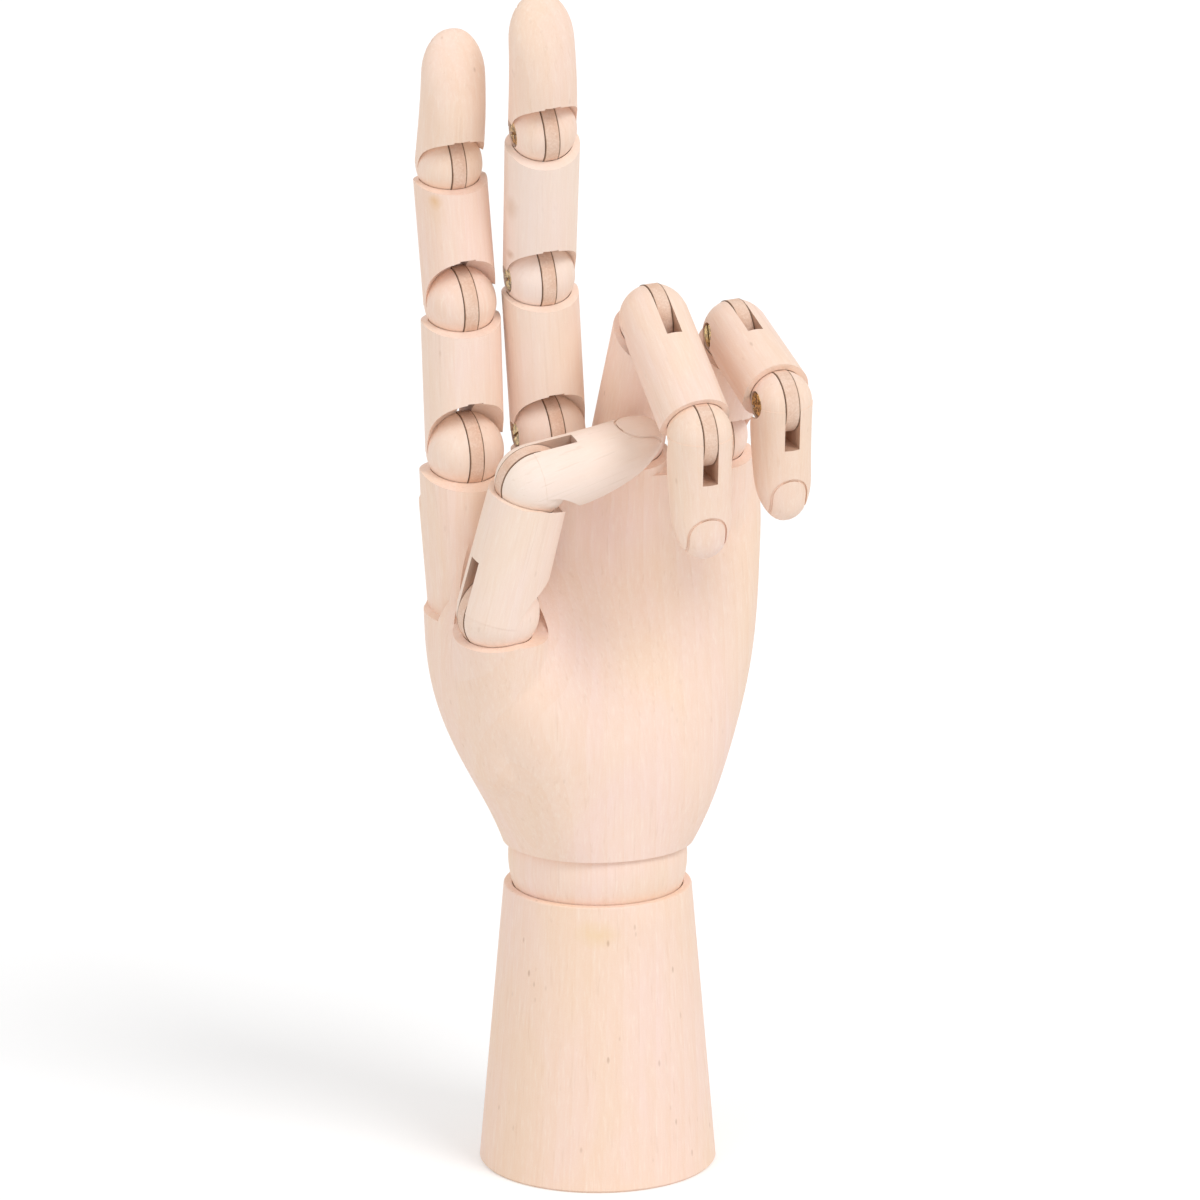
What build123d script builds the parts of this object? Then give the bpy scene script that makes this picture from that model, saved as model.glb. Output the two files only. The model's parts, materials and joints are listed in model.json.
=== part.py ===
from build123d import *
from math import cos, radians, sin, sqrt
import os

# Jointed wooden hand on a forearm stand, a left hand seen from its palm side.
# Lengths are millimetres and angles degrees.
# The origin is the centre of the forearm's flat foot. Up is +Z, the palm faces -Y and
# the thumb is on the -X side.

os.makedirs("parts", exist_ok=True)

# Forearm stand
forearm_height = 72.4
forearm_foot_radius = 29.8
forearm_rim_radius = 23.5
forearm_foot_chamfer = 0.6
forearm_rim_rounding = 0.5
spring_bore_radius = 11.0
spring_bore_depth = 44.0
bolt_hole_radius = 3.6

# Wrist ball, held between the forearm's cup and the palm's cup
wrist_ball_radius = 22.4
wrist_ball_rise = 7.1          # ball centre above the forearm's rim
wrist_cup_gap = 0.25
wrist_band = 11.6              # height of the ball that shows below the palm
wrist_slot_half_length = 15.0
wrist_slot_gap = 0.2
palm_tongue_thickness = 6.0
palm_tongue_radius = 9.0
palm_tongue_half_width = 5.6
palm_tongue_depth = 16.0       # how far it is glued into the palm
wrist_pin_radius = 1.6
wrist_pin_half_length = 15.0

# Bolt, spring, washer and nut inside the forearm
bolt_radius = 3.0
bolt_thread_in_ball = 9.0
bolt_tail = 3.0                # bolt end below the nut
nut_across_flats = 10.0
nut_height = 5.0
washer_radius = 9.6
washer_thickness = 1.2
washer_rise = 14.0             # washer's underside above the foot
spring_wire_radius = 0.9
spring_coil_radius = 7.2
spring_turns = 6
spring_end_gap = 0.15

# Finger joints
ball_step = 0.12               # the ball is this much smaller than its segment
cup_gap = 0.2
tongue_thickness = 3.6
tongue_slot_gap = 0.15
tongue_half_width = 4.6
tongue_depth = 7.0             # how far a tongue is glued into its segment
tongue_glue_gap = 0.04
rim_side_share = 0.40          # the rim's drop below the pivot, as a share of its radius
rim_palm_share = 0.72
scoop_radius_share = 1.185     # the palm-side arch of the segment above the joint
scoop_centre_share = 0.81
slot_top_share = 1.20

# Brass joint screws
screw_shank_radius = 1.25
screw_hole_gap = 0.06
screw_head_radius = 3.0
screw_head_height = 1.7
screw_head_edge = 0.3
screw_recess_radius = 3.4
screw_recess_floor = 2.6       # recess floor below the side of the ball
screw_slot_width = 0.8
screw_slot_depth = 0.6
screw_slot_turn = 30
screw_end_wall = 2.4           # wood left beyond the screw's point

# Fingertips
tip_dome_height = 11.2
tip_radius_loss = 0.4
tip_pad_rise = 14.5            # how much earlier the pad curves in than the back
tip_peak_share = 0.5           # the very end lies this share of the radius behind the middle
tip_last_turn = 84
tip_steps = 10
pad_round_share = 0.8          # roundness of the pad's curve, where a half is an ellipse
pad_steps = 4
oval_points = 12
nail_length = 12.0
nail_half_width_share = 0.64
nail_foot_share = 0.5          # the nail's groove is only behind this share of the radius
nail_line_width = 0.6
nail_line_depth = 0.4

# Palm
palm_length = 103.9            # from the palm's foot to the row of knuckles
palm_foot_radius = 23.2
knuckle_front = 2.0            # the knuckles lie this far in front of the wrist's axis
palm_top_drop = 9.4            # palm body's top below the knuckle row
ridge_length = 40.0            # the ridges that run down from the knuckles
ridge_foot_share = 0.66
index_ridge_foot_share = 0.95

# Cross sections of the palm, from its foot to its top: height as a share of the palm's
# length, then how far each side has spread from the foot towards the outer knuckles, then
# the depths behind and in front as shares of the foot's radius
palm_section_shares = (
    (0.000, 0.03, 0.06, 0.80, 1.00, 0.80, 0.80, 1.00, 0.80),
    (0.077, 0.17, 0.25, 0.80, 0.96, 0.80, 0.87, 1.02, 0.90),
    (0.190, 0.42, 0.46, 0.73, 0.87, 0.73, 0.92, 1.05, 1.02),
    (0.346, 0.73, 0.72, 0.64, 0.76, 0.62, 0.86, 1.02, 1.18),
    (0.538, 0.93, 0.93, 0.54, 0.64, 0.50, 0.74, 0.74, 1.14),
    (0.730, 0.98, 1.02, 0.44, 0.52, 0.41, 0.58, 0.42, 0.58),
    (1.000, 0.93, 0.93, 0.32, 0.38, 0.30, 0.46, 0.44, 0.48),
)
palm_quarter_share = 0.62      # where the points beside the middle lie, across the palm

# Index finger
index_side = -34.8
index_rise = -1.4              # knuckle above or below the knuckle row
index_lip_radius = 11.4
index_foot_radius = 9.7
index_middle_radius = 9.0
index_tip_radius = 8.3
index_head_radius = 9.8
index_middle_head_radius = 9.0
index_proximal_length = 37.2
index_middle_length = 34.6
index_tip_length = 35.4
index_splay = -1.6             # turn of the whole finger to the side
index_yaw = 1.7                # turn of the whole finger about its own length
index_bends = (0.0, -1.5, 22.9)
index_leans = (0.0, -2.4, 0.8)

# Middle finger
middle_side = -13.4
middle_rise = 2.0
middle_lip_radius = 9.95
middle_foot_radius = 9.3
middle_middle_radius = 8.9
middle_tip_radius = 8.4
middle_head_radius = 9.45
middle_middle_head_radius = 9.15
middle_proximal_length = 40.0
middle_middle_length = 40.4
middle_tip_length = 35.8
middle_splay = -4.6
middle_yaw = -0.6
middle_bends = (4.4, 12.0, 5.1)
middle_leans = (0.0, 0.9, -2.5)

# Ring finger
ring_side = 7.4
ring_rise = -0.6
ring_lip_radius = 10.1
ring_foot_radius = 9.3
ring_middle_radius = 8.6
ring_tip_radius = 8.0
ring_head_radius = 9.45
ring_middle_head_radius = 8.75
ring_proximal_length = 40.3
ring_middle_length = 35.9
ring_tip_length = 31.1
ring_splay = -2.9
ring_yaw = 2.5
ring_bends = (32.6, 96.3, 60.2)
ring_leans = (0.0, 0.0, 0.0)

# Little finger
little_side = 29.8
little_rise = -2.4
little_lip_radius = 9.6
little_foot_radius = 8.3
little_middle_radius = 8.2
little_tip_radius = 7.6
little_head_radius = 8.8
little_middle_head_radius = 8.5
little_proximal_length = 33.3
little_middle_length = 29.1
little_tip_length = 29.8
little_splay = -2.6
little_yaw = 4.5
little_bends = (28.1, 85.1, 75.7)
little_leans = (0.0, -0.8, -0.5)

# Thumb
thumb_side = -32.2
thumb_front = 20.5
thumb_rise = 65.9              # thumb's pivot above the palm's foot
thumb_lip_radius = 11.5
thumb_foot_radius = 10.3
thumb_tip_radius = 9.1
thumb_head_radius = 9.75
thumb_proximal_length = 35.3
thumb_tip_length = 34.9
thumb_mound_length = 40.0
thumb_mound_foot_radius = 12.0
thumb_yaw = 98.5
thumb_splay = -12.9
thumb_lift = -12.0             # turn of the mound out of the palm
thumb_bends = (20.8, 71.7)
thumb_leans = (0.0, -2.2)

# Heights that follow from the sizes above
wrist_height = forearm_height + wrist_ball_rise
palm_foot_height = forearm_height + wrist_band
knuckle_height = palm_foot_height + palm_length
thumb_height = palm_foot_height + thumb_rise
overrun = forearm_foot_radius


def finish(piece, name):
    """Name a finished piece and write its file."""
    piece.label = name
    export_step(piece, f"parts/{name}.step")


def rim_cutter(lip_radius):
    """Everything above a cup's rim, which dips towards the palm side."""
    side_drop = rim_side_share * lip_radius
    palm_drop = rim_palm_share * lip_radius
    far_drop = side_drop + (palm_drop - side_drop) * overrun / lip_radius
    with BuildPart() as cutter:
        with BuildSketch(Plane.YZ):
            with BuildLine():
                Polyline(
                    (-overrun, -far_drop),
                    (0, -side_drop),
                    (overrun, -side_drop),
                    (overrun, overrun),
                    (-overrun, overrun),
                    close=True,
                )
            make_face()
        extrude(amount=overrun, both=True)
        Cylinder(lip_radius + cup_gap, 4 * overrun, mode=Mode.INTERSECT)
    return cutter.part


def make_tongue(ball_radius):
    """Flat tongue: a disc round the pivot and a stem that is glued in below it."""
    stem_length = ball_radius + cup_gap + tongue_depth
    with BuildPart() as tongue:
        with BuildSketch(Plane.YZ):
            Circle(ball_radius)
            with Locations((0, -stem_length / 2)):
                Rectangle(2 * tongue_half_width, stem_length)
            Circle(screw_shank_radius + screw_hole_gap, mode=Mode.SUBTRACT)
        extrude(amount=tongue_thickness / 2, both=True)
    return tongue.part


def mortise_cutter(ball_radius):
    """The room that a tongue's stem takes in the piece that holds it."""
    depth = ball_radius + cup_gap + tongue_depth
    with BuildPart() as mortise:
        with Locations((0, 0, -depth)):
            Box(
                tongue_thickness + 2 * tongue_glue_gap,
                2 * (tongue_half_width + tongue_glue_gap),
                depth,
                align=(Align.CENTER, Align.CENTER, Align.MIN),
            )
    return mortise.part


def across(distance, side):
    """A plane square to the joint's axis, that faces the side that the sign names."""
    return Plane(origin=(side * distance, 0, 0), x_dir=(0, 1, 0), z_dir=(side, 0, 0))


def make_screw(ball_radius, head_side):
    """Slotted brass screw across a joint, its head on the side that the sign names."""
    seat = ball_radius - screw_recess_floor
    head_top = seat + screw_head_height
    reach = seat + ball_radius - screw_end_wall
    with BuildPart() as screw:
        with BuildSketch(across(seat, head_side)):
            Circle(screw_head_radius)
        extrude(amount=screw_head_height)
        outer_face = screw.faces().sort_by(Axis.X)[-1 if head_side > 0 else 0]
        chamfer(outer_face.edges(), screw_head_edge)
        with BuildSketch(across(head_top, head_side)):
            Rectangle(3 * screw_head_radius, screw_slot_width, rotation=screw_slot_turn)
        extrude(amount=-screw_slot_depth, mode=Mode.SUBTRACT)
        with BuildSketch(across(seat, head_side)):
            Circle(screw_shank_radius)
        extrude(amount=-reach)
    return screw.part


def cut_joint(body, ball_radius, lip_radius, head_side):
    """Give a segment its lower end: a slotted ball, an arch above it and a screw hole.

    The segment stands on its pivot, which is the origin, with its palm side at -Y.
    lip_radius is that of the cup that the ball sits in.
    """
    slot_top = slot_top_share * lip_radius
    seat = ball_radius - screw_recess_floor
    reach = seat + ball_radius - screw_end_wall
    with BuildPart() as jointed:
        add(body)
        with Locations((0, -scoop_centre_share * lip_radius, 0)):
            Sphere(scoop_radius_share * lip_radius, mode=Mode.SUBTRACT)
        Sphere(ball_radius)
        with Locations((0, 0, slot_top)):
            Box(
                tongue_thickness + 2 * tongue_slot_gap,
                4 * ball_radius,
                slot_top + 2 * ball_radius,
                align=(Align.CENTER, Align.CENTER, Align.MAX),
                mode=Mode.SUBTRACT,
            )
        with BuildSketch(across(seat, head_side)):
            Circle(screw_recess_radius)
        extrude(amount=ball_radius, mode=Mode.SUBTRACT)
        with BuildSketch(across(seat, head_side)):
            Circle(screw_shank_radius)
        extrude(amount=-reach, mode=Mode.SUBTRACT)
    return jointed.part


def make_segment(foot_radius, head_radius, length, lip_radius, next_ball, next_lean, head_side):
    """Middle segment of a finger: a ball below, a cup and a mortise above."""
    hinge = Location((0, 0, length)) * Rotation(0, next_lean, 0)
    rim = hinge * rim_cutter(head_radius)
    mortise = hinge * mortise_cutter(next_ball)
    with BuildPart() as body:
        with BuildSketch(Plane.XZ):
            with BuildLine():
                Polyline(
                    (0, 0), (foot_radius, 0), (head_radius, length), (0, length), close=True
                )
            make_face()
        revolve(axis=Axis.Z)
    jointed = cut_joint(body.part, foot_radius - ball_step, lip_radius, head_side)
    with BuildPart() as segment:
        add(jointed)
        with Locations((0, 0, length)):
            Sphere(next_ball + cup_gap, mode=Mode.SUBTRACT)
        add(rim, mode=Mode.SUBTRACT)
        add(mortise, mode=Mode.SUBTRACT)
    return segment.part


def oval(half_width, back_depth, pad_depth):
    """Points round one cross section of a fingertip, which starts at its +X side."""
    middle = (back_depth - pad_depth) / 2
    half_depth = (back_depth + pad_depth) / 2
    turns = [radians(360 * step / oval_points) for step in range(oval_points)]
    return [(half_width * cos(turn), middle + half_depth * sin(turn)) for turn in turns]


def tip_form(foot_radius, length):
    """A fingertip without its joint: its back is straight and its pad curves in early."""
    dome_radius = foot_radius - tip_radius_loss
    dome_foot = length - tip_dome_height
    pad_foot = dome_foot - tip_pad_rise
    heights = [0, pad_foot]
    heights += [pad_foot + tip_pad_rise * step / pad_steps for step in range(1, pad_steps + 1)]
    for step in range(1, tip_steps + 1):
        heights.append(dome_foot + tip_dome_height * sin(radians(tip_last_turn * step / tip_steps)))
    with BuildPart() as form:
        for height in heights:
            dome_share = max(height - dome_foot, 0) / tip_dome_height
            pad_share = max(height - pad_foot, 0) / (length - pad_foot)
            radius = foot_radius - tip_radius_loss * min(height / dome_foot, 1)
            peak = tip_peak_share * radius
            half_width = radius * sqrt(1 - dome_share ** 2)
            back_depth = peak + (radius - peak) * sqrt(1 - dome_share ** 4)
            pad_depth = (radius + peak) * (1 - pad_share ** 2) ** pad_round_share - peak
            with BuildSketch(Plane.XY.offset(height)):
                with BuildLine():
                    Spline(*oval(half_width, back_depth, pad_depth), periodic=True)
                make_face()
        loft(ruled=True)
    return form.part


def make_tip(foot_radius, length, lip_radius, head_side):
    """Last segment of a finger, with the outline of a nail engraved in its back."""
    nail_radius = nail_half_width_share * foot_radius
    inner_form = tip_form(foot_radius - nail_line_depth, length - nail_line_depth)
    with BuildPart() as nail_line:
        with BuildSketch(Plane.XZ.offset(-nail_foot_share * foot_radius)):
            with Locations((0, length - nail_length + nail_radius)):
                Circle(nail_radius)
                Rectangle(2 * nail_radius, nail_length, align=(Align.CENTER, Align.MIN))
                Circle(nail_radius - nail_line_width, mode=Mode.SUBTRACT)
                Rectangle(
                    2 * (nail_radius - nail_line_width),
                    2 * nail_length,
                    align=(Align.CENTER, Align.MIN),
                    mode=Mode.SUBTRACT,
                )
        extrude(amount=-2 * foot_radius)
        add(inner_form, mode=Mode.SUBTRACT)
    form = tip_form(foot_radius, length)
    jointed = cut_joint(form, foot_radius - ball_step, lip_radius, head_side)
    with BuildPart() as tip:
        add(jointed)
        add(nail_line.part, mode=Mode.SUBTRACT)
    return tip.part


# Forearm: a hollow cone with a cup on top
with BuildPart() as forearm:
    Cone(
        forearm_foot_radius,
        forearm_rim_radius,
        forearm_height,
        align=(Align.CENTER, Align.CENTER, Align.MIN),
    )
    chamfer(forearm.edges().group_by(Axis.Z)[0], forearm_foot_chamfer)
    fillet(forearm.edges().filter_by(GeomType.CIRCLE).sort_by(Axis.Z)[-1], forearm_rim_rounding)
    with Locations((0, 0, wrist_height)):
        Sphere(wrist_ball_radius + wrist_cup_gap, mode=Mode.SUBTRACT)
    Cylinder(
        spring_bore_radius,
        spring_bore_depth,
        align=(Align.CENTER, Align.CENTER, Align.MIN),
        mode=Mode.SUBTRACT,
    )
    Cylinder(
        bolt_hole_radius,
        forearm_height,
        align=(Align.CENTER, Align.CENTER, Align.MIN),
        mode=Mode.SUBTRACT,
    )
finish(forearm.part, "forearm")

# Wrist ball, with a slot for the palm's tongue, a pin hole and a hole for the bolt
wrist_slot_floor = wrist_height - palm_tongue_radius - 2 * wrist_slot_gap
ball_foot = wrist_height - wrist_ball_radius
bolt_top = ball_foot + bolt_thread_in_ball
with BuildPart() as wrist_ball:
    with Locations((0, 0, wrist_height)):
        Sphere(wrist_ball_radius)
    with BuildSketch(Plane.XY.offset(wrist_slot_floor)):
        Rectangle(palm_tongue_thickness + 2 * wrist_slot_gap, 2 * wrist_slot_half_length)
    extrude(amount=2 * wrist_ball_radius, mode=Mode.SUBTRACT)
    with BuildSketch(Plane.YZ.offset(-wrist_pin_half_length)):
        with Locations((0, wrist_height)):
            Circle(wrist_pin_radius)
    extrude(amount=wrist_pin_half_length + wrist_ball_radius, mode=Mode.SUBTRACT)
    with BuildSketch(Plane.XY):
        Circle(bolt_radius)
    extrude(amount=bolt_top, mode=Mode.SUBTRACT)
finish(wrist_ball.part, "wrist_ball")

# Pin across the wrist ball
with BuildPart() as wrist_pin:
    with BuildSketch(Plane.YZ.offset(-wrist_pin_half_length)):
        with Locations((0, wrist_height)):
            Circle(wrist_pin_radius)
    extrude(amount=2 * wrist_pin_half_length)
finish(wrist_pin.part, "wrist_pin")

# Bolt that pulls the ball into the forearm's cup
nut_top = washer_rise
nut_foot = nut_top - nut_height
with BuildPart() as wrist_bolt:
    with BuildSketch(Plane.XY.offset(nut_foot - bolt_tail)):
        Circle(bolt_radius)
    extrude(amount=bolt_top - nut_foot + bolt_tail)
finish(wrist_bolt.part, "wrist_bolt")

with BuildPart() as wrist_nut:
    with BuildSketch(Plane.XY.offset(nut_foot)):
        RegularPolygon(nut_across_flats / 2, 6, major_radius=False)
        Circle(bolt_radius, mode=Mode.SUBTRACT)
    extrude(amount=nut_height)
finish(wrist_nut.part, "wrist_nut")

with BuildPart() as wrist_washer:
    with BuildSketch(Plane.XY.offset(washer_rise)):
        Circle(washer_radius)
        Circle(bolt_radius, mode=Mode.SUBTRACT)
    extrude(amount=washer_thickness)
finish(wrist_washer.part, "wrist_washer")

# Spring between the washer and the roof of the forearm's bore
spring_foot = washer_rise + washer_thickness + spring_end_gap + spring_wire_radius
spring_top = spring_bore_depth - spring_end_gap - spring_wire_radius
spring_height = spring_top - spring_foot
with BuildPart() as wrist_spring:
    with BuildLine(Plane.XY.offset(spring_foot)):
        Helix(spring_height / spring_turns, spring_height, spring_coil_radius)
    with BuildSketch(
        Plane(origin=(spring_coil_radius, 0, spring_foot), x_dir=(1, 0, 0), z_dir=(0, 1, 0))
    ):
        Circle(spring_wire_radius)
    sweep(is_frenet=True)
finish(wrist_spring.part, "wrist_spring")

# Tongue that joins the palm to the wrist ball
palm_tongue_top = wrist_height + wrist_ball_radius + wrist_cup_gap + palm_tongue_depth
with BuildPart() as palm_tongue:
    with BuildSketch(Plane.YZ):
        with Locations((0, wrist_height)):
            Circle(palm_tongue_radius)
            Rectangle(
                2 * palm_tongue_half_width,
                palm_tongue_top - wrist_height,
                align=(Align.CENTER, Align.MIN),
            )
            Circle(wrist_pin_radius + screw_hole_gap, mode=Mode.SUBTRACT)
    extrude(amount=palm_tongue_thickness / 2, both=True)
finish(palm_tongue.part, "palm_tongue")


class Finger:
    """One finger: where its knuckle stands, how it bends and the sizes of its segments.

    radii holds the foot radius of each segment, heads the cup rims from the palm's upwards,
    bends the angle of each joint and leans the small sideways error of each joint.
    """

    def __init__(self, name, knuckle, radii, heads, lengths, bends, leans, head_side):
        self.name = name
        self.knuckle = knuckle
        self.radii = radii
        self.heads = heads
        self.lengths = lengths
        self.bends = bends
        self.leans = leans
        self.head_side = head_side
        self.part_names = ("proximal", "middle", "tip")
        if len(radii) == 2:
            self.part_names = ("proximal", "tip")

    def ball(self, index):
        """Radius of the ball at the foot of a segment."""
        return self.radii[index] - ball_step

    def hinges(self):
        """The place of each joint, with its axis along X and the segment below it straight down."""
        places = []
        frame = self.knuckle
        for length, bend, lean in zip(self.lengths, self.bends, self.leans):
            hinge = frame * Rotation(0, lean, 0)
            places.append(hinge)
            frame = hinge * Rotation(bend, 0, 0) * Location((0, 0, length))
        return places


def knuckle_place(side, height, splay, yaw):
    """Place of a finger's first joint in the palm."""
    return Location((side, -knuckle_front, height)) * Rotation(0, 0, yaw) * Rotation(0, splay, 0)


index = Finger(
    "index",
    knuckle_place(index_side, knuckle_height + index_rise, index_splay, index_yaw),
    (index_foot_radius, index_middle_radius, index_tip_radius),
    (index_lip_radius, index_head_radius, index_middle_head_radius),
    (index_proximal_length, index_middle_length, index_tip_length),
    index_bends,
    index_leans,
    1,
)
middle = Finger(
    "middle",
    knuckle_place(middle_side, knuckle_height + middle_rise, middle_splay, middle_yaw),
    (middle_foot_radius, middle_middle_radius, middle_tip_radius),
    (middle_lip_radius, middle_head_radius, middle_middle_head_radius),
    (middle_proximal_length, middle_middle_length, middle_tip_length),
    middle_bends,
    middle_leans,
    -1,
)
ring = Finger(
    "ring",
    knuckle_place(ring_side, knuckle_height + ring_rise, ring_splay, ring_yaw),
    (ring_foot_radius, ring_middle_radius, ring_tip_radius),
    (ring_lip_radius, ring_head_radius, ring_middle_head_radius),
    (ring_proximal_length, ring_middle_length, ring_tip_length),
    ring_bends,
    ring_leans,
    1,
)
little = Finger(
    "little",
    knuckle_place(little_side, knuckle_height + little_rise, little_splay, little_yaw),
    (little_foot_radius, little_middle_radius, little_tip_radius),
    (little_lip_radius, little_head_radius, little_middle_head_radius),
    (little_proximal_length, little_middle_length, little_tip_length),
    little_bends,
    little_leans,
    -1,
)
thumb = Finger(
    "thumb",
    Location((thumb_side, -thumb_front, thumb_height))
    * Rotation(0, 0, thumb_yaw)
    * Rotation(0, thumb_splay, 0)
    * Rotation(thumb_lift, 0, 0),
    (thumb_foot_radius, thumb_tip_radius),
    (thumb_lip_radius, thumb_head_radius),
    (thumb_proximal_length, thumb_tip_length),
    thumb_bends,
    thumb_leans,
    1,
)
fingers = (index, middle, ring, little)

# Palm: a carved body, ridges under the knuckles and a mound under the thumb
left_reach = -index_side + index_lip_radius
right_reach = little_side + little_lip_radius
palm_body_length = palm_length - palm_top_drop
palm_centre = (0, 0, wrist_height)


def palm_outline(section_shares):
    """The points of one cross section of the palm, anticlockwise from the little finger."""
    rise, left, right, back_left, back, back_right, front_right, front, front_left = section_shares
    spread_left = palm_foot_radius + (left_reach - palm_foot_radius) * left
    spread_right = palm_foot_radius + (right_reach - palm_foot_radius) * right
    quarter_left = -palm_quarter_share * spread_left
    quarter_right = palm_quarter_share * spread_right
    side_depth = -knuckle_front * rise
    return (
        (spread_right, side_depth),
        (quarter_right, back_right * palm_foot_radius),
        (0, back * palm_foot_radius),
        (quarter_left, back_left * palm_foot_radius),
        (-spread_left, side_depth),
        (quarter_left, -front_left * palm_foot_radius),
        (0, -front * palm_foot_radius),
        (quarter_right, -front_right * palm_foot_radius),
    )


with BuildPart() as palm_body:
    for section_shares in palm_section_shares:
        rise = palm_foot_height + section_shares[0] * palm_body_length
        with BuildSketch(Plane.XY.offset(rise)):
            with BuildLine():
                Spline(*palm_outline(section_shares), periodic=True)
            make_face()
    loft()


def make_ridge(finger, foot_share):
    """The ridge that carries a finger's cup."""
    lip_radius = finger.heads[0]
    with BuildPart() as ridge:
        Cone(
            foot_share * lip_radius,
            lip_radius,
            ridge_length,
            align=(Align.CENTER, Align.CENTER, Align.MAX),
        )
    return finger.knuckle * ridge.part


with BuildPart() as thumb_mound:
    Cone(
        thumb_mound_foot_radius,
        thumb_lip_radius,
        thumb_mound_length,
        align=(Align.CENTER, Align.CENTER, Align.MAX),
    )
    with Locations((0, 0, -thumb_mound_length)):
        Sphere(thumb_mound_foot_radius)

palm_adds = [make_ridge(index, index_ridge_foot_share)]
palm_adds += [make_ridge(finger, ridge_foot_share) for finger in (middle, ring, little)]
palm_adds += [thumb.knuckle * thumb_mound.part]
palm_cuts = []
for finger in (*fingers, thumb):
    with BuildPart() as cup:
        Sphere(finger.ball(0) + cup_gap)
    palm_cuts.append(finger.knuckle * rim_cutter(finger.heads[0]))
    palm_cuts.append(finger.knuckle * cup.part)
    palm_cuts.append(finger.knuckle * mortise_cutter(finger.ball(0)))

with BuildPart() as palm:
    add(palm_body.part)
    for piece in palm_adds:
        add(piece)
    for cutter in palm_cuts:
        add(cutter, mode=Mode.SUBTRACT)
    with Locations(palm_centre):
        Sphere(wrist_ball_radius + wrist_cup_gap, mode=Mode.SUBTRACT)
    with BuildSketch(Plane.XY.offset(wrist_height)):
        Rectangle(
            palm_tongue_thickness + 2 * tongue_glue_gap,
            2 * (palm_tongue_half_width + tongue_glue_gap),
        )
    extrude(amount=palm_tongue_top - wrist_height, mode=Mode.SUBTRACT)
finish(palm.part, "palm")

# Fingers and thumb: each joint's tongue and screw, and the segment above it
for finger in (*fingers, thumb):
    hinges = finger.hinges()
    for number, part_name in enumerate(finger.part_names):
        ball_radius = finger.ball(number)
        seat_lip = finger.heads[number]
        joint_name = "knuckle" if number == 0 else part_name
        bent = hinges[number] * Rotation(finger.bends[number], 0, 0)
        finish(hinges[number] * make_tongue(ball_radius), f"{finger.name}_{joint_name}_tongue")
        finish(bent * make_screw(ball_radius, finger.head_side), f"{finger.name}_{joint_name}_screw")
        if part_name == "tip":
            segment = make_tip(
                finger.radii[number], finger.lengths[number], seat_lip, finger.head_side
            )
        else:
            segment = make_segment(
                finger.radii[number],
                finger.heads[number + 1],
                finger.lengths[number],
                seat_lip,
                finger.ball(number + 1),
                finger.leans[number + 1],
                finger.head_side,
            )
        finish(bent * segment, f"{finger.name}_{part_name}")
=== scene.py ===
import json
import math

import bpy
from mathutils import Matrix, Vector


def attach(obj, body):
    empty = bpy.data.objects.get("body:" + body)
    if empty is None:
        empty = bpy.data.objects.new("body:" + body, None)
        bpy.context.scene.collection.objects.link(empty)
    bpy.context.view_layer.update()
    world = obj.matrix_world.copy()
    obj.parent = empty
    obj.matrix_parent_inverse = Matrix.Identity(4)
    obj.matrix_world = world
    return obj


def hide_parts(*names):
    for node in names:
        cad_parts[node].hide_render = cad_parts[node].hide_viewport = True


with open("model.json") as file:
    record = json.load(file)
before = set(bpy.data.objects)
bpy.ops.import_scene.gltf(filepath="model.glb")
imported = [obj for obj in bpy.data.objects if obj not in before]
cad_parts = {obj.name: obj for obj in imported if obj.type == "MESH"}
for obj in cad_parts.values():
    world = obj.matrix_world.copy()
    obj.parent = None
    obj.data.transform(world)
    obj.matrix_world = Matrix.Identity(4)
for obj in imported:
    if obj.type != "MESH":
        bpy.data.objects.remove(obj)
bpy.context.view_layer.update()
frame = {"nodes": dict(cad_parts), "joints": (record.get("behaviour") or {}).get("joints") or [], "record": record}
parts = frame["nodes"]
hinges = {joint["name"]: joint for joint in frame["joints"]}
bodies = {node: body for body, members in frame["record"]["behaviour"]["bodies"].items()
          for node in members}


def pivot(joint):
    """The middle of a joint."""
    return Vector(hinges[joint]["pos_m"])


# The hand's own sizes and places
MM = 0.001
UP, ACROSS = Vector((0, 0, 1)), Vector((1, 0, 0))
fingers = {finger: ["proximal", "middle", "tip"] for finger in ("index", "middle", "ring", "little")}
fingers["thumb"] = ["proximal", "tip"]
wrist = pivot("wrist_flex")
palm_foot = Vector((0, 0, 84 * MM))
finger_tongue_half = 1.8 * MM
palm_tongue_half = 3.0 * MM
saw_slot_half = finger_tongue_half + 0.18 * MM
finger_cup_radii = {"index": 9.8, "middle": 9.4, "ring": 9.4, "little": 8.4, "thumb": 10.4}
wrist_cup_reach = 23.6 * MM

# Camera: the photograph's view of the palm, from a little to its left and above
camera_azimuth, camera_elevation = math.radians(-18), math.radians(14.925)
camera_distance = 1.9094
camera_lens, camera_sensor = 231.2, 36
aim_height, aim_aside = 144.99 * MM, 0.586 * MM
nearest_seen, farthest_seen = 0.05, 60

sideways = Vector((math.cos(camera_azimuth), math.sin(camera_azimuth), 0))
towards = Vector((math.sin(camera_azimuth) * math.cos(camera_elevation),
                  -math.cos(camera_azimuth) * math.cos(camera_elevation),
                  math.sin(camera_elevation)))
aim = Vector((0, 0, aim_height)) + aim_aside * sideways
camera = bpy.data.objects.new("camera", bpy.data.cameras.new("camera"))
bpy.context.scene.collection.objects.link(camera)
camera.rotation_mode = "QUATERNION"
camera.location = aim + camera_distance * towards
camera.rotation_quaternion = (-towards).to_track_quat("-Z", "Y")
camera.data.sensor_width, camera.data.lens = camera_sensor, camera_lens
camera.data.clip_start, camera.data.clip_end = nearest_seen, farthest_seen
bpy.context.scene.camera = camera
bpy.context.scene.view_settings.view_transform = "Standard"


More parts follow.
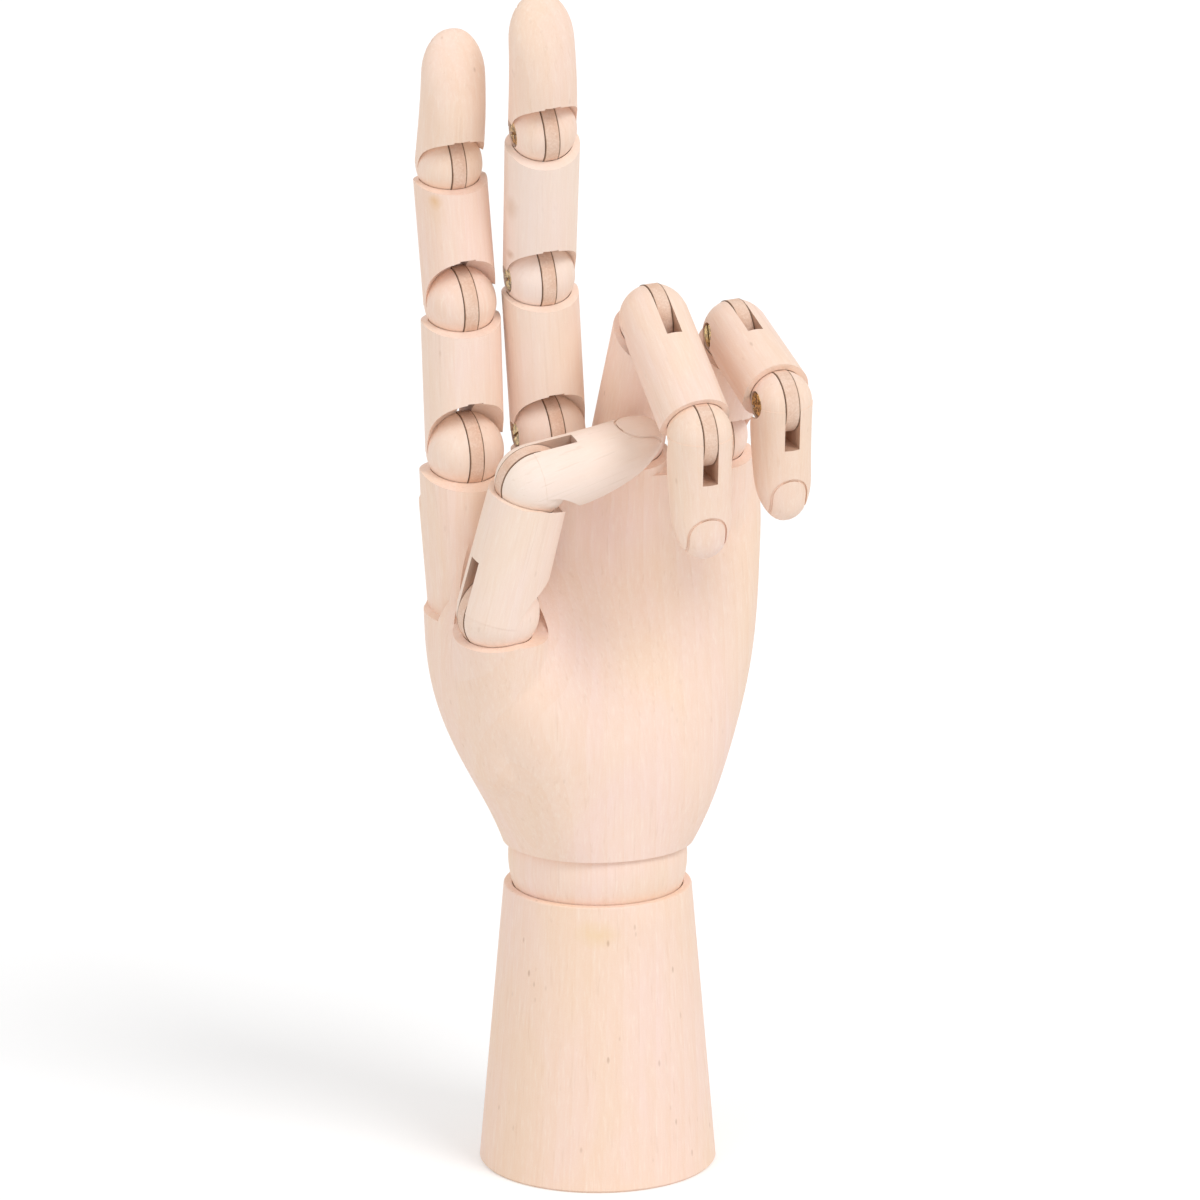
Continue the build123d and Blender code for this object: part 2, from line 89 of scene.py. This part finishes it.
# Steps that the node materials share
def add(tree, kind, sockets=(), **settings):
    """Adds one node, sets its choices, and fills or links its sockets."""
    made = tree.nodes.new(kind)
    for choice, value in settings.items():
        setattr(made, choice, value)
    for socket, value in dict(sockets).items():
        if isinstance(value, bpy.types.NodeSocket):
            tree.links.new(value, made.inputs[socket])
        else:
            made.inputs[socket].default_value = value
    return made


def tint(tree, share, first, second):
    """Mixes two colours, and gives the socket of the result."""
    mix = add(tree, "ShaderNodeMix", data_type="RGBA")
    share_socket, first_socket, second_socket, mixed_socket = 0, 6, 7, 2
    for socket, value in ((share_socket, share), (first_socket, first), (second_socket, second)):
        if isinstance(value, bpy.types.NodeSocket):
            tree.links.new(value, mix.inputs[socket])
        elif socket == share_socket:
            mix.inputs[socket].default_value = value
        else:
            mix.inputs[socket].default_value = (*value, 1)
    return mix.outputs[mixed_socket]


def level(tree, value, low, high, bottom=0.0, top=1.0):
    """Spreads a value between two levels over a new range, held at its ends."""
    return add(tree, "ShaderNodeMapRange", {"Value": value, "From Min": low, "From Max": high,
                                            "To Min": bottom, "To Max": top}).outputs[0]


def sums(tree, way, first, second):
    """One step of arithmetic on two values."""
    return add(tree, "ShaderNodeMath", {0: first, 1: second}, operation=way).outputs[0]


def stretched(tree, place, scale, shift=(0, 0, 0)):
    """Coordinates scaled and then shifted: a pattern runs long where the scale is below 1."""
    return add(tree, "ShaderNodeMapping",
               {"Vector": place, "Location": shift, "Scale": scale}).outputs[0]


def cloud(tree, place, scale, detail=2.0, rough=0.5, uneven=0.0):
    """Soft noise, finer with a larger scale."""
    return add(tree, "ShaderNodeTexNoise", {"Vector": place, "Scale": scale, "Detail": detail,
                                            "Roughness": rough, "Distortion": uneven}).outputs["Fac"]


def new_finish(name, foot=(0, 0, 0), along=UP, across=ACROSS):
    """A material and one piece's own coordinates: z runs along its grain from its foot."""
    finish = bpy.data.materials.new(name)
    finish.use_nodes = True
    tree = finish.node_tree
    along = Vector(along).normalized()
    across = (Vector(across) - Vector(across).dot(along) * along).normalized()
    turned = Matrix((across, along.cross(across), along)).transposed()
    coordinates = add(tree, "ShaderNodeTexCoord")
    place = add(tree, "ShaderNodeMapping",
                {"Vector": coordinates.outputs["Object"], "Location": foot,
                 "Rotation": turned.to_euler()}, vector_type="TEXTURE")
    return finish, tree, place.outputs[0], tree.nodes["Principled BSDF"]


def surface(tree, shader, colour, roughness, relief, strength, depth):
    """Gives a finish its colour, its roughness and its fine relief."""
    tree.links.new(colour, shader.inputs["Base Color"])
    tree.links.new(roughness, shader.inputs["Roughness"])
    bump = add(tree, "ShaderNodeBump", {"Height": relief, "Strength": strength, "Distance": depth})
    tree.links.new(bump.outputs[0], shader.inputs["Normal"])


# Limewood: the hand's sanded outer pieces
CREAM = (0.945, 0.735, 0.590)
PINK = (0.950, 0.722, 0.638)
HONEY = (0.880, 0.590, 0.400)
THREAD = (0.620, 0.370, 0.210)
PALE_FIBRE = (1.000, 0.840, 0.720)
WOOD_DUST = (1.000, 0.860, 0.760)
BLEACHED = (0.970, 0.870, 0.780)
PORE = (0.400, 0.210, 0.110)
# Painted shade for the walls and the end of each segment's saw slot
PAINTED_SLOT_SHADE = (0.400, 0.185, 0.090)
SEED_STEPS = (0.13, -0.07, 0.11)


def year_rings(tree, place):
    """Wavy year rings round an axis that lies a little beside the piece."""
    beside = (0.024, 0.017, 0)
    rings = add(tree, "ShaderNodeTexWave",
                {"Vector": stretched(tree, place, (1, 1, 0.16), beside), "Scale": 78,
                 "Distortion": 5.5, "Detail": 2.0, "Detail Scale": 0.22},
                wave_type="RINGS", rings_direction="Z", wave_profile="SAW")
    return rings.outputs["Fac"]


def dark_pores(tree, place, share):
    """Short dark pores along the grain, in loose clusters."""
    cells = add(tree, "ShaderNodeTexVoronoi",
                {"Vector": stretched(tree, place, (1, 1, 0.42)), "Scale": 430, "Randomness": 1.0},
                feature="F1")
    dots = level(tree, cells.outputs["Distance"], 0.20, 0.08)
    chosen = level(tree, cells.outputs["Color"], 0.58, 0.66)
    clusters = level(tree, cloud(tree, place, 55, detail=2, rough=0.6), 0.46, 0.64)
    return sums(tree, "MULTIPLY", sums(tree, "MULTIPLY", dots, chosen),
                sums(tree, "MULTIPLY", clusters, share))


def stained(tree, place, colour, spot, reach, depth, stain):
    """Blends one stain into a colour: its spot and reach are across, aside and along, in mm."""
    noise_middle = (0.5, 0.5, 0.5)
    gap = add(tree, "ShaderNodeVectorMath",
              {0: stretched(tree, place, (1, 1, 1), [-at * MM for at in spot]),
               1: [1 / (way * MM) for way in reach]}, operation="MULTIPLY")
    noise = add(tree, "ShaderNodeTexNoise", {"Vector": place, "Scale": 300, "Detail": 3.0})
    wavy = add(tree, "ShaderNodeVectorMath", {0: gap.outputs[0], 1: noise.outputs["Color"]},
               operation="ADD")
    length = add(tree, "ShaderNodeVectorMath", {0: wavy.outputs[0], 1: noise_middle},
                 operation="DISTANCE")
    return tint(tree, level(tree, length.outputs["Value"], 1.15, 0.15, 0.0, depth), colour, stain)


def limewood(name, foot, along, across, seed, stains=(), warmth=0.4, pores=0.3, threads=0.12,
             bleach=0.0):
    """Pale sanded limewood: streaks and rings along the grain, flecks, pores and soft tones, with painted shade in
    the saw slots.
    """
    finish, tree, place, shader = new_finish(name, foot, along, across)
    own = stretched(tree, place, (1, 1, 1), [step * seed for step in SEED_STEPS])

    fibres = cloud(tree, stretched(tree, own, (1, 1, 0.10)), 1500, detail=4, rough=0.62, uneven=0.15)
    streaks = cloud(tree, stretched(tree, own, (1, 1, 0.035)), 330, detail=3, rough=0.55, uneven=0.3)
    tones = cloud(tree, stretched(tree, own, (1, 1, 0.45)), 42, detail=3, uneven=0.6)
    dust = cloud(tree, own, 2600, detail=2, rough=0.6)
    lines = cloud(tree, stretched(tree, own, (1, 1, 0.022)), 1050, detail=2, uneven=0.3)
    rings = year_rings(tree, place)
    pore = dark_pores(tree, own, pores)

    colour = tint(tree, level(tree, tones, 0.34, 0.68), CREAM, PINK)
    colour = tint(tree, level(tree, tones, 0.30, 0.75, 0.30 * warmth, 0.0), colour, HONEY)
    colour = tint(tree, level(tree, rings, 0.15, 1.0, 0.0, 0.16), colour, HONEY)
    colour = tint(tree, level(tree, streaks, 0.46, 0.76, 0.0, 0.17), colour, HONEY)
    colour = tint(tree, level(tree, fibres, 0.50, 0.76, 0.0, 0.22), colour, HONEY)
    colour = tint(tree, level(tree, lines, 0.62, 0.72, 0.0, threads), colour, THREAD)
    colour = tint(tree, level(tree, fibres, 0.30, 0.46, 0.35, 0.0), colour, PALE_FIBRE)
    colour = tint(tree, level(tree, dust, 0.35, 0.70, 0.10, -0.10), colour, WOOD_DUST)
    colour = tint(tree, bleach, colour, BLEACHED)
    for spot, reach, depth, stain in stains:
        colour = stained(tree, place, colour, spot, reach, depth, stain)
    colour = tint(tree, pore, colour, PORE)
    # Painted shade: the saw slot's marked walls and end are darkened towards dark brown
    painted_slot_shade = add(tree, "ShaderNodeAttribute", attribute_name="painted_slot_shade").outputs["Fac"]
    painted_slot_shade = sums(tree, "MULTIPLY", painted_slot_shade, level(tree, streaks, 0.3, 0.7, 0.45, 0.75))
    colour = tint(tree, painted_slot_shade, colour, PAINTED_SLOT_SHADE)

    grain_relief = sums(tree, "ADD", sums(tree, "MULTIPLY", fibres, 0.6),
                        sums(tree, "MULTIPLY", dust, 0.35))
    surface(tree, shader, colour, roughness=level(tree, fibres, 0.3, 0.75, 0.50, 0.66),
            relief=sums(tree, "SUBTRACT", grain_relief, pore), strength=0.35, depth=0.22 * MM)
    shader.inputs["Specular IOR Level"].default_value = 0.34
    return finish


# Tongue wood: the flat hinge tongues
TONGUE_CREAM = (0.880, 0.650, 0.520)
TONGUE_TAN = (0.830, 0.560, 0.420)
TONGUE_GRAIN = (0.650, 0.400, 0.260)
TONGUE_FIBRE = (0.990, 0.830, 0.720)
TONGUE_PLY = (0.700, 0.440, 0.290)
SLOT_SHADE = (0.200, 0.100, 0.050)


def tongue_wood(name, foot, along, across, half_thickness):
    """The hinge tongues: pale wood cut across its grain, rougher, with painted shade along its sides where they
    meet the saw slot's walls.
    """
    finish, tree, place, shader = new_finish(name, foot, along, across)
    aside = add(tree, "ShaderNodeSeparateXYZ", {"Vector": place}).outputs["X"]
    grains = cloud(tree, place, 1900, detail=5, rough=0.7)
    plies = cloud(tree, stretched(tree, place, (0.2, 1, 0.2)), 700)
    tones = cloud(tree, place, 160)

    colour = tint(tree, level(tree, tones, 0.35, 0.65), TONGUE_CREAM, TONGUE_TAN)
    colour = tint(tree, level(tree, grains, 0.46, 0.72, 0.0, 0.35), colour, TONGUE_GRAIN)
    colour = tint(tree, level(tree, grains, 0.30, 0.46, 0.5, 0.0), colour, TONGUE_FIBRE)
    colour = tint(tree, level(tree, plies, 0.52, 0.70, 0.0, 0.25), colour, TONGUE_PLY)
    # Painted shade along the tongue's sides, where they sit against the saw slot's walls
    edge = sums(tree, "ADD", sums(tree, "ABSOLUTE", aside, 0.0),
                sums(tree, "MULTIPLY", plies, 0.3 * MM))
    shade_start, shade_end = half_thickness - 0.10 * MM, half_thickness + 0.06 * MM
    colour = tint(tree, level(tree, edge, shade_start, shade_end, 0.0, 0.85), colour, SLOT_SHADE)

    surface(tree, shader, colour, roughness=level(tree, grains, 0.3, 0.7, 0.62, 0.80),
            relief=grains, strength=0.6, depth=0.3 * MM)
    shader.inputs["Specular IOR Level"].default_value = 0.25
    return finish


# Metals: the brass screws and the wrist's steel
BRASS = (0.780, 0.520, 0.190)
BRASS_RUB = (0.860, 0.680, 0.400)
BRASS_DIRT = (0.110, 0.060, 0.025)
ZINC = (0.620, 0.620, 0.600)
ZINC_LINE = (0.800, 0.800, 0.780)
ZINC_BLOOM = (0.440, 0.430, 0.410)


def screw_brass():
    """Dull turned brass with rub marks and dark dirt in patches."""
    finish, tree, place, shader = new_finish("screw_brass")
    dirt = cloud(tree, place, 1100, detail=4, rough=0.65, uneven=0.4)
    rubs = cloud(tree, stretched(tree, place, (0.2, 1, 1)), 3200, rough=0.6)
    colour = tint(tree, level(tree, dirt, 0.42, 0.60), BRASS, BRASS_DIRT)
    colour = tint(tree, level(tree, rubs, 0.50, 0.75, 0.0, 0.30), colour, BRASS_RUB)
    surface(tree, shader, colour, roughness=level(tree, dirt, 0.35, 0.7, 0.26, 0.48),
            relief=rubs, strength=0.3, depth=0.08 * MM)
    shader.inputs["Metallic"].default_value = 1.0
    return finish


def wrist_steel():
    """Zinc-plated steel of the wrist's bolt, nut, washer, pin and spring."""
    finish, tree, place, shader = new_finish("wrist_steel")
    bloom = cloud(tree, place, 380, detail=4, rough=0.6, uneven=0.5)
    lines = cloud(tree, stretched(tree, place, (1, 1, 6)), 900, rough=0.6)
    colour = tint(tree, level(tree, bloom, 0.35, 0.68), ZINC, ZINC_BLOOM)
    colour = tint(tree, level(tree, lines, 0.5, 0.8, 0.0, 0.25), colour, ZINC_LINE)
    surface(tree, shader, colour, roughness=level(tree, bloom, 0.3, 0.7, 0.28, 0.46),
            relief=lines, strength=0.25, depth=0.08 * MM)
    shader.inputs["Metallic"].default_value = 1.0
    return finish


def dress(piece, finish):
    """Gives an object its finish."""
    piece.data.materials.clear()
    piece.data.materials.append(finish)


# Wooden pieces, made from the CAD's own meshes
def pick(piece):
    """Selects one object alone, and makes it the active one."""
    bpy.ops.object.select_all(action="DESELECT")
    piece.select_set(True)
    bpy.context.view_layer.objects.active = piece


def settle(piece, modifier):
    """Applies a modifier to its piece."""
    pick(piece)
    bpy.ops.object.modifier_apply(modifier=modifier.name)


def shade(piece, crease=34):
    """Shades a piece smooth, apart from its edges sharper than the crease, in degrees."""
    pick(piece)
    bpy.ops.object.shade_smooth_by_angle(angle=math.radians(crease))


def copied(node, name):
    """A copy of a CAD node's mesh with its loose triangles merged and shaded smooth."""
    merge_gap = 0.002 * MM
    piece = bpy.data.objects.new(name, parts[node].data.copy())
    bpy.context.scene.collection.objects.link(piece)
    pick(piece)
    bpy.ops.object.mode_set(mode="EDIT")
    bpy.ops.mesh.select_all(action="SELECT")
    bpy.ops.mesh.remove_doubles(threshold=merge_gap)
    bpy.ops.object.mode_set(mode="OBJECT")
    bpy.ops.mesh.customdata_custom_splitnormals_clear()
    shade(piece)
    return piece


def mark_painted_slot_shade(piece, foot, along, across):
    """Marks the walls and the end of a segment's saw slot, where painted shade darkens the wood."""
    wall_least, end_least = 0.98, 0.85
    along = along.normalized()
    across = (across - across.dot(along) * along).normalized()
    painted_slot_shade = piece.data.attributes.new("painted_slot_shade", "FLOAT", "FACE")
    for face, mark in zip(piece.data.polygons, painted_slot_shade.data):
        in_slot = abs((face.center - foot).dot(across)) < saw_slot_half
        wall = abs(face.normal.dot(across)) > wall_least
        end = -face.normal.dot(along) > end_least
        mark.value = float(in_slot and (wall or end))


def cut_away(piece, cutter):
    """Takes one object's shape out of a piece, and deletes that object."""
    saw = piece.modifiers.new("saw", "BOOLEAN")
    saw.operation, saw.solver, saw.object = "DIFFERENCE", "MANIFOLD", cutter
    settle(piece, saw)
    bpy.data.objects.remove(cutter)


def clear_cup(inlay, middle, reach, segments):
    """Keeps the inlay out of one of the palm's round cups."""
    pick(inlay)
    bpy.ops.mesh.primitive_uv_sphere_add(segments=segments, ring_count=segments // 2, radius=reach,
                                         location=middle)
    cut_away(inlay, bpy.context.object)


def palm_inlay():
    """A smoothed copy of the palm that lies just under its skin, apart from its creases."""
    grid_step, passes, sink, cup_margin = 0.75 * MM, 110, 0.10 * MM, 1.0 * MM
    inlay = copied("palm", "palm_inlay")
    grid = inlay.modifiers.new("grid", "REMESH")
    grid.mode, grid.voxel_size = "VOXEL", grid_step
    settle(inlay, grid)
    sanding = inlay.modifiers.new("sanding", "SMOOTH")
    sanding.factor, sanding.iterations = 0.5, passes
    settle(inlay, sanding)
    skin = inlay.modifiers.new("skin", "DISPLACE")
    skin.mid_level, skin.strength = 0, -sink
    settle(inlay, skin)
    for finger in fingers:
        reach = finger_cup_radii[finger] * MM + cup_margin
        clear_cup(inlay, pivot(f"{finger}_knuckle_joint"), reach, segments=64)
    clear_cup(inlay, wrist, wrist_cup_reach, segments=96)
    return inlay


def carve_index_ridge(palm):
    """Carves the palm's side down to the index finger's ridge, as far as a ledge over the mound.

    The gouge is a tilted block, less the leaning cone of wood that stays as the ridge.
    """
    knuckle = pivot("index_knuckle_joint")
    block_middle = knuckle + MM * Vector((-15.2, 1.5, -19.3))
    block_size, block_tilt = MM * Vector((28, 24, 40)), math.radians(-10)
    ridge_middle = knuckle + MM * Vector((5.0, 1.4, -19.5))
    ridge_low_radius, ridge_high_radius, ridge_length = 13.75 * MM, 16.8 * MM, 60 * MM
    ridge_lean = math.radians(-1.6)

    pick(palm)
    bpy.ops.mesh.primitive_cube_add(size=1, location=block_middle)
    gouge = bpy.context.object
    gouge.name = "ridge_gouge"
    bpy.ops.object.mode_set(mode="EDIT")
    bpy.ops.mesh.select_all(action="SELECT")
    bpy.ops.transform.resize(value=block_size)
    bpy.ops.transform.rotate(value=block_tilt, orient_axis="X", center_override=block_middle)
    bpy.ops.object.mode_set(mode="OBJECT")
    bpy.ops.mesh.primitive_cone_add(vertices=256, radius1=ridge_low_radius,
                                    radius2=ridge_high_radius, depth=ridge_length,
                                    rotation=(0, ridge_lean, 0), location=ridge_middle)
    cut_away(gouge, bpy.context.object)
    cut_away(palm, gouge)


def softened_palm():
    """The palm, with its thumb mound and ridges run softly into its hollow.

    The inlay comes out of the skin only in the creases, as the soft hollows of carved wood.
    """
    palm = copied("palm", "palm_wood")
    inlay = palm_inlay()
    join = palm.modifiers.new("join", "BOOLEAN")
    join.operation, join.solver, join.object = "UNION", "MANIFOLD", inlay
    settle(palm, join)
    bpy.data.objects.remove(inlay)
    carve_index_ridge(palm)
    shade(palm)
    return palm


def farthest(node, start):
    """The vertex of a node that lies farthest from a point."""
    return max((vertex.co for vertex in parts[node].data.vertices),
               key=lambda place: (place - start).length).copy()


# Where each wooden piece's grain starts, the way it runs and the way across it
grain = {"forearm": (Vector((0, 0, 0)), UP, ACROSS),
         "wrist_ball": (wrist, UP, ACROSS),
         "palm": (palm_foot, UP, ACROSS),
         "palm_tongue": (wrist, UP, ACROSS)}
for finger, lengths in fingers.items():
    for at, length in enumerate(lengths):
        joint = "knuckle" if at == 0 else length
        foot = pivot(f"{finger}_{joint}_joint")
        if length == "tip":
            end = farthest(f"{finger}_tip", foot)
        else:
            end = pivot(f"{finger}_{lengths[at + 1]}_joint")
        axis = Vector(hinges[f"{finger}_{joint}_joint"]["axis"])
        grain[f"{finger}_{length}"] = (foot, end - foot, axis)
        grain[f"{finger}_{joint}_tongue"] = (foot, end - foot, axis)

# Stains of the real hand: the spot, its reach each way, its depth and its colour
AMBER, AMBER_HALO, OCHRE = (0.80, 0.47, 0.20), (0.84, 0.58, 0.34), (0.84, 0.60, 0.27)
BROWN_STREAK, BROWN_SPECK = (0.62, 0.38, 0.22), (0.50, 0.28, 0.14)
stains = {"index_middle": [((-6.3, -6.4, 26.8), (1.6, 3.0, 1.9), 0.60, AMBER),
                           ((-6.2, -6.5, 24.6), (2.6, 4.0, 5.0), 0.22, AMBER_HALO)],
          "middle_middle": [((-8.5, -3.0, 21.4), (1.4, 3.0, 3.6), 0.35, BROWN_STREAK),
                            ((-8.5, -2.9, 8.6), (0.9, 2.0, 1.3), 0.45, BROWN_SPECK)],
          "forearm": [((-7.4, -22.9, 65.6), (5.2, 6.0, 3.6), 0.32, OCHRE)]}

# Pieces whose wood is warmer, paler or more pored than the rest
own_wood = {"forearm": {"warmth": 0.9, "pores": 0.55},
            "palm": {"warmth": 0.35, "pores": 0.12},
            "index_proximal": {"threads": 0.20, "bleach": 0.15},
            "index_middle": {"warmth": 0.9},
            "middle_proximal": {"warmth": 0.3, "pores": 0.2, "bleach": 0.25},
            "middle_middle": {"warmth": 0.3, "pores": 0.1, "bleach": 0.4},
            "thumb_proximal": {"pores": 0.15, "threads": 0.20, "bleach": 0.25},
            "thumb_tip": {"warmth": 0.6, "pores": 0.0, "threads": 0.45, "bleach": 0.55}}

for seed, (node, (foot, along, across)) in enumerate(sorted(grain.items())):
    if node.endswith("_tongue"):
        half_thickness = palm_tongue_half if node == "palm_tongue" else finger_tongue_half
        dress(parts[node], tongue_wood(node, foot, along, across, half_thickness))
        continue
    piece = softened_palm() if node == "palm" else copied(node, node + "_wood")
    # Each segment's saw slot is marked for its painted shade
    if bodies[node].endswith("_segment"):
        mark_painted_slot_shade(piece, foot, along, across)
    dress(piece, limewood(node + "_limewood", foot, along, across, seed, stains.get(node, ()),
                          **own_wood.get(node, {})))
    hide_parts(node)
    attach(piece, bodies[node])

brass, steel = screw_brass(), wrist_steel()
for node in parts:
    if node.endswith("_screw"):
        dress(parts[node], brass)
    elif node.startswith("wrist_") and node != "wrist_ball":
        dress(parts[node], steel)


# Floor: pale, lifted to white for the camera and for reflections, with the hand's soft shadow
def seen_ray(tree):
    """1 for the camera's and the reflections' rays, and 0 for light that falls on the hand."""
    rays = add(tree, "ShaderNodeLightPath")
    return sums(tree, "MAXIMUM", rays.outputs["Is Camera Ray"],
                sums(tree, "MAXIMUM", rays.outputs["Is Glossy Ray"],
                     rays.outputs["Is Transmission Ray"]))


def floor_paint(grey, lift):
    """Matt pale paint that the camera sees brighter than the light makes it."""
    paint = bpy.data.materials.new("floor_paint")
    paint.use_nodes = True
    tree = paint.node_tree
    shader = tree.nodes["Principled BSDF"]
    shader.inputs["Base Color"].default_value = (grey, grey, grey, 1)
    shader.inputs["Roughness"].default_value = 0.9
    shader.inputs["Specular IOR Level"].default_value = 0.1
    shader.inputs["Emission Color"].default_value = (1, 1, 1, 1)
    tree.links.new(sums(tree, "MULTIPLY", seen_ray(tree), lift), shader.inputs["Emission Strength"])
    return paint


floor_side = 24
bpy.ops.object.select_all(action="DESELECT")
bpy.ops.mesh.primitive_plane_add(size=floor_side, location=(0, 0, 0))
floor = bpy.context.object
floor.name = "floor"
dress(floor, floor_paint(grey=0.86, lift=0.22))


# Light: an even pale surround, a soft lamp from the right and above, and a weak fill
def surround(light_strength, seen_strength):
    """A white world, whose strength as light is less than where it is seen."""
    world = bpy.data.worlds.new("surround")
    bpy.context.scene.world = world
    world.use_nodes = True
    tree = world.node_tree
    background = tree.nodes["Background"]
    background.inputs["Color"].default_value = (1, 1, 1, 1)
    tree.links.new(level(tree, seen_ray(tree), 0, 1, light_strength, seen_strength),
                   background.inputs["Strength"])


def lamp(name, strength, azimuth, height, softness):
    """A distant soft lamp that shines from an azimuth and a height, in degrees."""
    light = bpy.data.objects.new(name, bpy.data.lights.new(name, "SUN"))
    bpy.context.scene.collection.objects.link(light)
    light.data.energy = strength
    light.data.angle = math.radians(softness)
    azimuth, height = math.radians(azimuth), math.radians(height)
    back = Vector((math.sin(azimuth) * math.cos(height), -math.cos(azimuth) * math.cos(height),
                   math.sin(height)))
    light.rotation_euler = (-back).to_track_quat("-Z", "Y").to_euler()


surround(light_strength=0.69, seen_strength=1.0)
lamp("main_lamp", strength=1.06, azimuth=27, height=46, softness=26)
lamp("fill_lamp", strength=0.36, azimuth=-60, height=25, softness=60)
